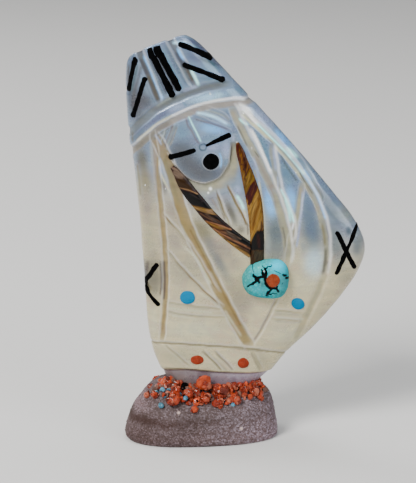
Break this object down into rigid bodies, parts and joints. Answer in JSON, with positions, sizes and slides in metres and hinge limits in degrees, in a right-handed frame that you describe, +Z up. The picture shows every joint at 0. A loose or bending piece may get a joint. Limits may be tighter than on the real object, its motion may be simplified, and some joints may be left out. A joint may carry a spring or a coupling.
{
  "type": "fetish carving",
  "caption": "Carved mother-of-pearl maiden fetish with jet, turquoise and coral inlays and twisted stone braids, standing on a small stone strewn with coral chips.",
  "frame": {"origin": "centre of the stone's flat underside", "axes": "+Z up, the carved face looks towards -Y, +X to the right as seen from in front"},
  "size_m": [0.0383, 0.015, 0.0652],
  "materials": {
    "shell": "polished mother-of-pearl, grey-blue above and cream below",
    "jet": "satin black",
    "tiger_stone": "polished, silky brown and gold bands",
    "turquoise": "polished, black matrix",
    "coral": "broken and glazed orange-red",
    "stone": "sawn and rubbed purple-grey, granular"
  },
  "bodies": {
    "root": {"coral_chip_01": "coral", "coral_chip_02": "coral", "coral_chip_03": "coral", "coral_chip_04": "coral", "coral_chip_05": "coral", "coral_chip_06": "coral", "coral_chip_07": "coral", "coral_chip_08": "coral", "coral_chip_09": "coral", "coral_chip_10": "coral", "coral_chip_11": "coral", "coral_chip_12": "coral", "coral_chip_13": "coral", "coral_chip_14": "coral", "coral_chip_15": "coral", "coral_chip_16": "coral", "coral_chip_17": "coral", "coral_chip_18": "coral", "coral_chip_19": "coral", "coral_chip_20": "coral", "coral_chip_21": "coral", "coral_chip_22": "coral", "coral_chip_23": "coral", "coral_chip_24": "coral", "headdress_centre_left": "jet", "headdress_centre_right": "jet", "headdress_left_lower": "jet", "headdress_left_upper": "jet", "headdress_right_lower": "jet", "headdress_right_upper": "jet", "jet_chip_01": "jet", "jet_chip_02": "jet", "left_braid": "tiger_stone", "left_coral_dot": "coral", "left_cross_lower_arm": "jet", "left_cross_upper_arm": "jet", "left_eye": "jet", "left_turquoise_dot": "turquoise", "mouth": "jet", "nugget_coral_dot": "coral", "right_braid": "tiger_stone", "right_coral_dot": "coral", "right_cross_long_strip": "jet", "right_cross_lower_arm": "jet", "right_cross_upper_arm": "jet", "right_eye": "jet", "right_turquoise_dot": "turquoise", "shell_maiden": "shell", "stone_base": "stone", "turquoise_chip_01": "turquoise", "turquoise_chip_02": "turquoise", "turquoise_chip_03": "turquoise", "turquoise_chip_04": "turquoise", "turquoise_nugget": "turquoise"}
  },
  "joints": []
}
